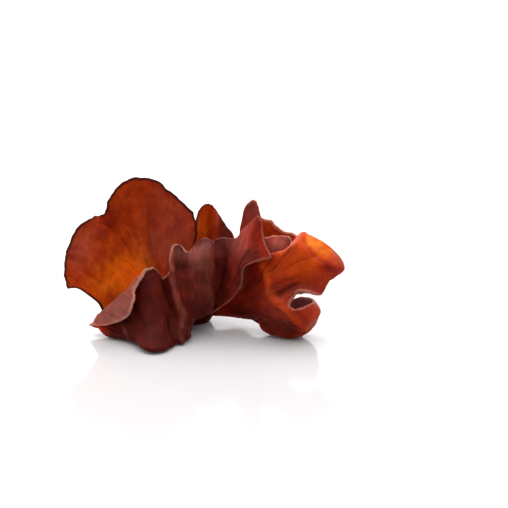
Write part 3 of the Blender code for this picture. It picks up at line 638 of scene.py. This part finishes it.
rightEar = {
    "node": "right_ear",
    "slot": "ear_flesh",
    "root": ((8.5, -1.5, 7.5), (9.5, -2.5, 5), (7.5, -1.5, 2.5)),
    "neck": (
        (14, -5, 12.5), (18, -9.5, 12.5), (23, -14, 12.5), (26, -17.5, 11),
        (25.5, -17, 8), (22, -12, 5.2), (16.5, -4.5, 4),
    ),
    "ribs": [
        [(19.1, -11, 16.6), (21, -13, 23.9), (24.8, -15, 28.2), (28.9, -15, 29.5)],
        [(22.1, -12.5, 19), (24.8, -15, 25.6), (28.5, -16.5, 29.7), (32.6, -15, 30.7)],
        [(25.9, -15.5, 21.5), (29.3, -18, 28), (33, -18.5, 31.8), (36, -15, 32.6)],
        [(28.5, -18.8, 23.4), (33.7, -20.5, 31), (37.4, -19.8, 34.7), (39.4, -14.5, 36)],
        [(30, -20.2, 24.4), (36.6, -21, 32.9), (40.5, -21, 36.9), (42.2, -14, 38.7)],
        [(30.7, -21, 24.2), (38.5, -21.8, 31.7), (42.8, -23.3, 35.6), (45.7, -15, 38.9)],
        [(31.3, -21.5, 23.6), (40.3, -22.5, 30), (45.4, -25, 32.8), (50.2, -16, 35.7)],
        [(31.6, -21.8, 22.5), (41.8, -23, 28), (47.9, -25.5, 30.7), (54.8, -17.5, 32.6)],
        [(31.8, -22, 21.4), (42.5, -23.3, 26), (52, -25.3, 28.1), (58.3, -20, 26.6)],
        [(31.8, -22, 20.2), (41.8, -23, 23.8), (48.4, -24, 24.3), (52.6, -22, 22.6)],
        [(31.7, -22, 19.1), (39.6, -21.8, 21.5), (45.5, -24, 20.8), (49.3, -23.5, 17.6)],
        [(31.5, -22, 17.9), (37.4, -21.5, 19.7), (41.8, -25.5, 19.7), (44.3, -28, 21.2)],
        [(31.3, -22, 16.7), (35.2, -21.8, 17.9), (38.1, -24.8, 18), (41, -27, 20)],
        [(31.1, -22, 15.2), (33.7, -22.8, 15.6), (36.3, -25, 16.7), (39.5, -27, 17.9)],
        [(31.3, -22.8, 13.7), (33.9, -25, 14), (35.7, -27, 14.8), (37.9, -28, 15.9)],
        [(31.8, -23.8, 12.2), (35.9, -27, 12.1), (38, -29, 12.9), (39.3, -29.3, 14.3)],
        [(32.6, -24.6, 10.9), (38.4, -29, 11.1), (42.1, -30, 12.6), (41.9, -29.7, 14.6)],
        [(33, -25, 9.9), (40.6, -29, 9.2), (46.2, -28.5, 10.6), (44.5, -28.5, 15.8)],
        [(32.6, -24.8, 9), (41.8, -27.5, 6.8), (48.6, -24, 10.7), (46.7, -23.5, 15.5)],
        [(31.9, -24.3, 8.3), (41.9, -26, 4), (48.4, -20.5, 8.1), (44.5, -18.5, 15.3)],
        [(30.7, -23.5, 7.7), (39.7, -24.3, 1.6), (47.4, -18, 5.3), (41.6, -16, 14.7)],
        [(29.6, -22.5, 7.1), (36, -23.3, 0.7), (43.7, -16.5, 2.4), (38.2, -13.5, 12.2)],
        [(28.2, -19.5, 6.6), (32.3, -21, 1.1), (41.1, -17, 0.2), (37.4, -12.5, 5.9)],
        [(25.5, -15, 5.7), (29.3, -18.5, 2.9), (34.6, -16.5, 0.4), (38.5, -12.5, 1.9)],
        [(22.9, -11, 5.1), (26.3, -13, 4.3), (29.4, -13, 3.3), (32, -12, 2.6)],
        [(20.5, -6.5, 4.5), (23.5, -7.5, 4.5), (26.5, -9, 4.5), (29, -10.5, 5)],
    ],
    "seed": 127,
    "thick": 1.3,
    "thinning": 0.35,
    "nibble": 0.7,
    "wrinkled": 1.0,
    "ruffled": 0.4,
    "smoothTowards": (0, -1, 0),
    # Patches: thin and painted brighter where the top catches the light; negative ones paint shade on the
    # underside, belly, valley and the facet past the crease
    "patches": [
        ((50, -20, 33), (7, 20, 4), 0.5),
        ((45.5, -19, 37), (6, 20, 3), 0.5),
        ((41, -23.5, 29), (10, 20, 6.5), 0.4),
        ((51, -25.5, 29), (4, 20, 2), -0.2),
        ((24, -15.5, 18.5), (4, 20, 10), -0.35),
        ((19, -12, 7.5), (9, 20, 3.5), -0.5),
        ((37.5, -23, 19.5), (5, 20, 3), -0.25),
        ((34.5, -26, 6), (9, 20, 5), -0.55),
        ((45.5, -29, 11.5), (4, 20, 6), 0.2),
    ],
    # Bloom with painted sheen: the lighter inside of the hook's hollow paints light into its shade
    "bloomAndSheenPatches": [((45.5, -24.8, 19.9), (5, 20, 2), 0.1), ((42.3, -16, 13), (8, 8, 6), 1.3)],
    # Folds: the crease past the top painted dark as shade, the ridge painted lighter as a highlight, two pale
    # rims painted as highlights
    "folds": [
        ([(42.5, -20.5, 37.5), (46.1, -24.5, 32.9), (48, -24.8, 31.4), (54.3, -23.6, 26.9)],
         0.9, -0.6, -0.3, 0),
        ([(27.4, -17.8, 27.9), (28.9, -18.7, 25.9), (30, -21.1, 22.7), (30.4, -22, 19.1), (31.5, -22.6, 16.5),
           (34, -25.3, 14.6), (36.6, -28.7, 13.4), (40.2, -29.8, 9.9), (43.3, -27.4, 6)], 1.3, 0.8, 0.4, 0),
        ([(28.9, -17, 3.4), (30.6, -18, 2.2)], 1.6, 1.1, 0, 0),
        ([(36, -18.5, 34), (38, -17, 36), (39.7, -15.2, 37.6), (41.2, -14.8, 39), (43, -14.5, 39.6)],
         0.9, 0, 0, 0.7),
        ([(54, -19, 32.6), (56, -19.5, 31), (57.2, -20.5, 29), (57.6, -21, 27.6)], 0.9, 0, 0, 0.7),
    ],
    "rims": [((19, -10.5, 16.5), (4, 6, 4), -2.0)],
    # The pale rim tone is a painted highlight along the edge
    "look": {**earLook, "tones": earLook["tones"][:-1] + [(1.0, (0.88, 0.27, 0.01))],
             "tone": 0.5, "paintedLightTone": 0.5, "rim": 0.6, "rimWidth": 1.0, "rimColour": (0.4, 0.16, 0.12)},
    "smooth": smoothSide,
    # The felted side's greyer bloom colour paints the hook hollow lighter against its red shade
    "felted": {**feltedSide, "tone": 0.32, "paintedLightTone": 0.2, "bloomAndSheen": 0.3, "bloomAndSheenColour": (0.42, 0.19, 0.17)},
}
makeEar(rightEar)
print("stage 2: right_ear done")

backEar = {
    "node": "back_ear",
    "slot": "ear_flesh",
    "root": ((2.5, 3.5, 5), (4, 4.5, 5), (6, 4, 5.5)),
    "neck": ((3, 7, 8), (6.5, 10.5, 9), (9, 8, 7.5)),
    "ribs": [
        [(2, 9, 19), (0.5, 5, 30)],
        [(2.5, 11, 21.5), (2, 6, 38)],
        [(4.5, 12, 22), (3.5, 8, 43)],
        [(6, 12.5, 23), (6.5, 9, 45.2)],
        [(8, 11.5, 22.5), (8.9, 8, 44.2)],
        [(10, 12, 22), (11.1, 12.5, 39.5)],
        [(12, 11.5, 21.5), (13.8, 13, 35)],
        [(14, 10.3, 20), (16.5, 11.5, 31.3)],
        [(14.3, 8.7, 16.5), (17.3, 10, 26)],
    ],
    "seed": 163,
    **smallEar,
    "smoothTowards": (0, -1, 0),
    # Patches: the left part thin and painted brighter as a backlit glow, the right part painted darker as
    # shade with a greyish painted sheen; the dark rim is a painted backlit outline
    "patches": [
        ((5, 9, 38), (5, 20, 14), 0.45),
        ((5, 9, 34), (4, 20, 5), 0.3),
        ((12.5, 12, 33), (3.5, 20, 9), -0.4),
    ],
    "bloomAndSheenPatches": [((13, 12, 33), (3.5, 20, 9), 0.2)],
    "folds": [],
    "rims": [],
    "look": {**earLook, "tone": 0.5, "paintedLightTone": 0.5,
             "rim": 0.8, "rimWidth": 1.0, "rimColour": (0.06, 0.01, 0.008)},
    "smooth": smoothSide,
    "felted": {**feltedSide, "tone": 0.28, "paintedLightTone": 0.2, "bloomAndSheen": 0.32},
}
makeEar(backEar)
print("stage 2: back_ear done")

rightBackEar = {
    "node": "right_back_ear",
    "slot": "ear_flesh",
    "root": ((7, 3.5, 5.5), (8.5, 3.5, 5.5), (9.5, 2.5, 5)),
    "neck": ((13, 8, 8.5), (17, 10, 9), (21, 6, 6.5)),
    "ribs": [
        [(17.5, 10, 21), (19, 11, 34)],
        [(20, 12, 23), (22.5, 12, 38.2)],
        [(23, 13, 24), (26.4, 13, 39)],
        [(25.5, 13, 24), (30.3, 12, 38)],
        [(28.5, 11.5, 23.5), (33.4, 11, 36.2)],
        [(30.5, 9, 22.5), (36.2, 10, 34)],
        [(32.5, 7.5, 22), (39.6, 7, 34)],
        [(33.5, 4, 20), (42.1, 1, 33.4)],
    ],
    "seed": 199,
    **smallEar,
    "smoothTowards": (0, -1, 0),
    # Patch: thin and painted brighter as a backlit glow on the face; the wide pale rim is a painted highlight
    "patches": [((28.5, 11, 36), (10, 20, 8), 0.4)],
    "bloomAndSheenPatches": [],
    "folds": [],
    "rims": [((30, 11, 35), (12, 20, 6), 0.42)],
    "look": {**earLook, "tone": 0.5, "paintedLightTone": 0.4,
             "rim": 0.85, "rimWidth": 1.1, "rimColour": (0.52, 0.24, 0.18)},
    "smooth": smoothSide,
    "felted": {**feltedSide, "tone": 0.3, "paintedLightTone": 0.2, "bloomAndSheen": 0.28},
}
makeEar(rightBackEar)
print("stage 2: right_back_ear done")

innerEar = {
    "node": "inner_ear",
    "slot": "felted_flesh",
    "root": ((5.5, 1, 9), (7.5, 1, 9), (9.5, 0.8, 8)),
    "neck": ((9.5, -1, 13.5), (13.5, -2, 13.5), (17, -3.5, 10.5)),
    "ribs": [
        [(16.3, -3, 19.5), (19, -3.5, 27.6), (19.4, -2.5, 34.9)],
        [(17.7, -4.6, 20.4), (20.6, -5.5, 30.1), (20.2, -3.5, 42.6)],
        [(19, -5.7, 21), (22.1, -6.5, 31.9), (21.6, -5, 47.8)],
        [(20.2, -6.2, 21.5), (23.6, -7, 32.9), (23.5, -5.5, 50)],
        [(21.3, -6.3, 21.6), (24.8, -7, 32.1), (25.5, -5, 48.6)],
        [(22.5, -6.2, 21.4), (25.9, -6, 31), (26.7, -3.5, 43.4)],
        [(23.8, -6.2, 21.1), (27.4, -6, 29.5), (27.8, -2, 35.1)],
        [(25.2, -6.7, 20.8), (29.7, -6.5, 29.2), (31.7, 0, 34.4)],
        [(26.5, -7.3, 20.1), (32, -7.5, 29.1), (35.5, 0, 34.6)],
        [(27.7, -7.8, 19.1), (34.3, -8, 28), (38.6, -2, 34.5)],
        [(28.6, -8, 17.7), (35.8, -8, 25.3), (40, -5, 30.8)],
    ],
    "seed": 239,
    **smallEar,
    "smoothTowards": (0, 1, 0),
    "patches": [],
    # Bloom with painted sheen: a pale mauve in the hollow and at the top; the pale rim is a painted highlight
    "bloomAndSheenPatches": [((34, -4, 32.5), (6, 20, 5), 0.3), ((24, -6.5, 46), (4, 20, 8), 0.25)],
    "folds": [],
    "rims": [],
    "look": {**earLook, "tone": 0.42, "paintedLightTone": 0.4,
             "rim": 0.8, "rimWidth": 1.0, "rimColour": (0.42, 0.2, 0.15)},
    "smooth": smoothSide,
    "felted": feltedSide,
}
makeEar(innerEar)
print("stage 2: inner_ear done")


holdfast = {
    "node": "holdfast",
    "slot": "holdfast_flesh",
    "radii": (7, 6.5, 7),
    "centre": 3,
    "lean": 0.7,  # sideways for its height
    "lumps": 3,
    "lumpDepth": 0.07,
    "around": 96,  # points round it
    "down": 39,  # and from the crown to the cut
    "crownLift": 0.02,  # mm from the first ring up to the crown
    "pits": [(3.0, 0.5), (1.4, 0.25), (0.6, 0.1)],  # mm across, mm high
    "sunk": 0.5,  # mm that the pitted skin lies in, so that the ears' gaps stay open
    "footFade": 1.5,  # mm above the cut over which the pits come in
    "seed": 5,
    "sharpAngle": 50,  # degrees; the edge round the cut is sharper
    "look": {**earLook, "tone": 0.05, "paintedLightTone": 0,
             "rim": 0.0, "rimWidth": 1.0, "rimColour": (0.1, 0.05, 0.03)},
}


# The holdfast: a ball r(1 + lump cos 3a sin t) round a turn a and down a fall t, leaning towards +X by a
# part of its height, pushed in by noise above the cut and closed by a flat disc on the table.
def makeHoldfast(knob):
    radii = np.array(knob["radii"])
    turn = np.linspace(0, 2 * math.pi, knob["around"] + 1)[:-1]
    fall = np.linspace(0, math.acos((tableHeight - knob["centre"]) / radii[2]), knob["down"] + 1)[1:, None]
    lump = 1 + knob["lumpDepth"] * np.sin(fall) * np.cos(knob["lumps"] * turn)
    ball = [np.sin(fall) * np.cos(turn), np.sin(fall) * np.sin(turn), np.cos(fall) + 0 * turn]
    ball = np.stack(ball, axis=-1)
    grid = ball * radii * lump[..., None] + np.array([0, 0, knob["centre"]])
    grid[..., 2] = np.maximum(grid[..., 2], tableHeight)
    grid[-1, :, 2] = tableHeight
    push = sum(h * softNoise(grid, (s, s, s), knob["seed"] + k) for k, (s, h) in enumerate(knob["pits"]))
    keep = smoothStep(tableHeight, tableHeight + knob["footFade"], grid[..., 2])[..., None]
    grid = grid + unit(ball) * (push - knob["sunk"])[..., None] * keep
    grid[..., 0] += knob["lean"] * grid[..., 2]
    top = grid[0].mean(axis=0) + np.array([0, 0, knob["crownLift"]])
    sole = grid[-1].mean(axis=0)
    count = len(turn)
    places = np.concatenate([[top], grid.reshape(-1, 3), [sole]])
    ringIndex = 1 + np.arange(grid.shape[0] * count).reshape(-1, count)
    following = np.roll(ringIndex, -1, axis=1)
    sides = np.stack([ringIndex[:-1], ringIndex[1:], following[1:], following[:-1]], axis=-1).reshape(-1, 4)
    crown = np.stack([np.zeros(count, int), ringIndex[0], following[0]], axis=-1)
    floor = np.stack([np.full(count, len(places) - 1), following[-1], ringIndex[-1]], axis=-1)
    mesh = bpy.data.meshes.new("holdfast_skin")
    faces = [face for part in (sides, crown, floor) for face in part.tolist()]
    mesh.from_pydata((places * mm).tolist(), [], faces)
    mesh.validate()
    mesh.shade_smooth()
    mesh.set_sharp_from_angle(angle=math.radians(knob["sharpAngle"]))
    mesh.materials.append(fleshMaterial("holdfast felted", {**knob["look"], **feltedSide}))
    piece = bpy.data.objects.new("holdfast_skin", mesh)
    bpy.context.scene.collection.objects.link(piece)
    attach(piece, "root")
    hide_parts(knob["node"])


makeHoldfast(holdfast)
print("stage 3: holdfast done")


studio = {
    "floorSize": 12.0,
    "floorTone": (0.55, 0.54, 0.545),
    "floorRoughness": 0.12,
    "floorShine": 0.25,
    "glowTowards": (0.0, 0.55, 0.83),  # middle of the bright part of the dome, behind and above
    "glowEdge": 0.1,  # cosine of the angle from there at which it starts to rise
    "glowCore": 0.95,  # and at which it is full
    "glow": 1.6,  # its brightness, over that of the rest of the dome
    "dome": 0.9,
    "backdrop": 1.0,  # how bright the dome looks behind the table
    "lamp": {"place": (-0.25, 0.3, 0.5), "aim": (0, 0, 0.03), "size": 0.25, "power": 1.6},
}


# The room: a level table under a dome whose brightness rises by 3t^2 - 2t^3 towards one direction, seen as
# plain white behind the table, and one softbox.
def makeStudio(room):
    half = room["floorSize"] / 2
    z = tableHeight * mm
    mesh = bpy.data.meshes.new("table")
    corners = [(-half, -half, z), (half, -half, z), (half, half, z), (-half, half, z)]
    mesh.from_pydata(corners, [], [(0, 1, 2, 3)])
    table = bpy.data.objects.new("table", mesh)
    bpy.context.scene.collection.objects.link(table)
    white = bpy.data.materials.new("white table")
    white.use_nodes = True
    shader = white.node_tree.nodes["Principled BSDF"]
    shader.inputs["Base Color"].default_value = (*room["floorTone"], 1)
    shader.inputs["Roughness"].default_value = room["floorRoughness"]
    shader.inputs["Specular IOR Level"].default_value = room["floorShine"]
    mesh.materials.append(white)
    world = bpy.data.worlds.new("studio")
    bpy.context.scene.world = world
    world.use_nodes = True
    tree = world.node_tree
    direction = put(tree, "TexCoord", {})["Generated"]
    facing = put(tree, "VectorMath", {0: direction, 1: room["glowTowards"]}, operation="DOT_PRODUCT")["Value"]
    ends = {"From Min": room["glowEdge"], "From Max": room["glowCore"],
            "To Min": room["dome"], "To Max": room["dome"] + room["glow"]}
    bright = put(tree, "MapRange", {"Value": facing, **ends}, interpolation_type="SMOOTHSTEP")[0]
    seen = put(tree, "LightPath", {})["Is Camera Ray"]
    strength = put(tree, "Mix", {0: seen, 2: bright, 3: room["backdrop"]}, data_type="FLOAT")[0]
    background = next(n for n in tree.nodes if n.type == "BACKGROUND")
    background.inputs["Color"].default_value = (1, 1, 1, 1)
    tree.links.new(strength, background.inputs["Strength"])
    light = bpy.data.lights.new("softbox", "AREA")
    light.size = room["lamp"]["size"]
    light.energy = room["lamp"]["power"]
    lamp = bpy.data.objects.new("softbox", light)
    bpy.context.scene.collection.objects.link(lamp)
    lamp.location = room["lamp"]["place"]
    aim = Vector(room["lamp"]["aim"]) - lamp.location
    lamp.rotation_euler = aim.to_track_quat("-Z", "Y").to_euler()


makeStudio(studio)

view = {"lens": 100, "sensor": 36, "near": 0.01, "place": (0.0244, -0.52585, 0.16795), "tilt": 75}
camera = bpy.data.objects.new("camera", bpy.data.cameras.new("camera"))
bpy.context.scene.collection.objects.link(camera)
camera.data.lens = view["lens"]
camera.data.sensor_width = view["sensor"]
camera.data.clip_start = view["near"]
camera.location = view["place"]
camera.rotation_euler = (math.radians(view["tilt"]), 0, 0)
bpy.context.scene.camera = camera
bpy.context.scene.view_settings.view_transform = "Standard"
print("stage 4: studio and camera done")
